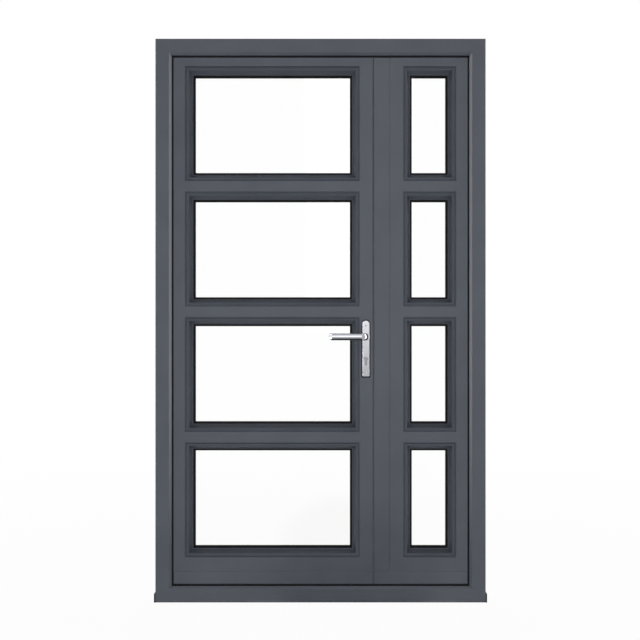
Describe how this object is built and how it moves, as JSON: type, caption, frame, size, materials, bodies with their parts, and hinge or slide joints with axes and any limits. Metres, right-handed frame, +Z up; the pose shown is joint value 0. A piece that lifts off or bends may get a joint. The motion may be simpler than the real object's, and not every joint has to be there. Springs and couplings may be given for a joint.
{
  "type": "glazed aluminium security door",
  "caption": "Framed entrance door with one wide and one narrow glazed leaf that both swing inwards, moulded beads, a flat meeting strip, a sill and a sprung lever handle on a long plate.",
  "frame": {"origin": "middle of the sill's underside, at the middle of the frame's depth", "axes": "+X right as seen from outside, +Y into the building, +Z up"},
  "size_m": [1.27, 0.185, 2.15],
  "materials": {
    "powder_coat": "fine matt anthracite grey",
    "hinge_coat": "matt anthracite grey",
    "black_rubber": "matt",
    "grey_rubber": "matt",
    "clear_glass": "clear laminated safety glass",
    "satin_aluminium": "satin anodised",
    "black_plastic": "matt",
    "lock_steel": "brushed",
    "cylinder_nickel": "satin nickel"
  },
  "bodies": {
    "frame": {"left_jamb": "powder_coat", "right_jamb": "powder_coat", "head": "powder_coat", "threshold": "powder_coat", "sill": "powder_coat", "sill_end_caps": "black_plastic", "weather_gasket": "black_rubber", "main_hinge_frame_halves": "hinge_coat", "side_hinge_frame_halves": "hinge_coat"},
    "main_leaf": {"main_hinge_stile": "powder_coat", "main_lock_stile": "powder_coat", "main_top_rail": "powder_coat", "main_mid_rails": "powder_coat", "main_bottom_rail": "powder_coat", "main_plinth": "powder_coat", "main_outer_beads": "powder_coat", "main_inner_beads": "powder_coat", "main_glass": "clear_glass", "main_glazing_gaskets": "black_rubber", "main_hinge_leaf_halves": "hinge_coat", "lock_face_plate": "lock_steel", "lock_bolts": "lock_steel", "outer_plate_base": "black_plastic", "outer_plate": "satin_aluminium", "inner_plate_base": "black_plastic", "inner_plate": "satin_aluminium", "lock_cylinder": "cylinder_nickel"},
    "side_leaf": {"side_meeting_stile": "powder_coat", "side_hinge_stile": "powder_coat", "side_top_rail": "powder_coat", "side_mid_rails": "powder_coat", "side_bottom_rail": "powder_coat", "side_plinth": "powder_coat", "meeting_strip": "powder_coat", "meeting_seal": "grey_rubber", "side_outer_beads": "powder_coat", "side_inner_beads": "powder_coat", "side_glass": "clear_glass", "side_glazing_gaskets": "black_rubber", "side_hinge_leaf_halves": "hinge_coat", "keep_plate": "lock_steel", "hook_keeps": "lock_steel"},
    "lever": {"outer_lever": "satin_aluminium", "inner_lever": "satin_aluminium", "spindle": "lock_steel"}
  },
  "joints": [
    {"name": "main_leaf_swing", "type": "hinge", "parent": "frame", "child": "main_leaf", "pos_m": [-0.5835, 0.0475, 1.075], "axis": [0, 0, 1], "range_deg": [0, 100]},
    {"name": "side_leaf_swing", "type": "hinge", "parent": "frame", "child": "side_leaf", "pos_m": [0.5835, 0.0475, 1.075], "axis": [0, 0, -1], "range_deg": [0, 100]},
    {"name": "lever_turn", "type": "hinge", "parent": "main_leaf", "child": "lever", "pos_m": [0.174, 0.01, 1.014], "axis": [0, -1, 0], "range_deg": [0, 40], "stiffness_Nm_per_rad": 1.5, "springref_deg": -28.65}
  ]
}
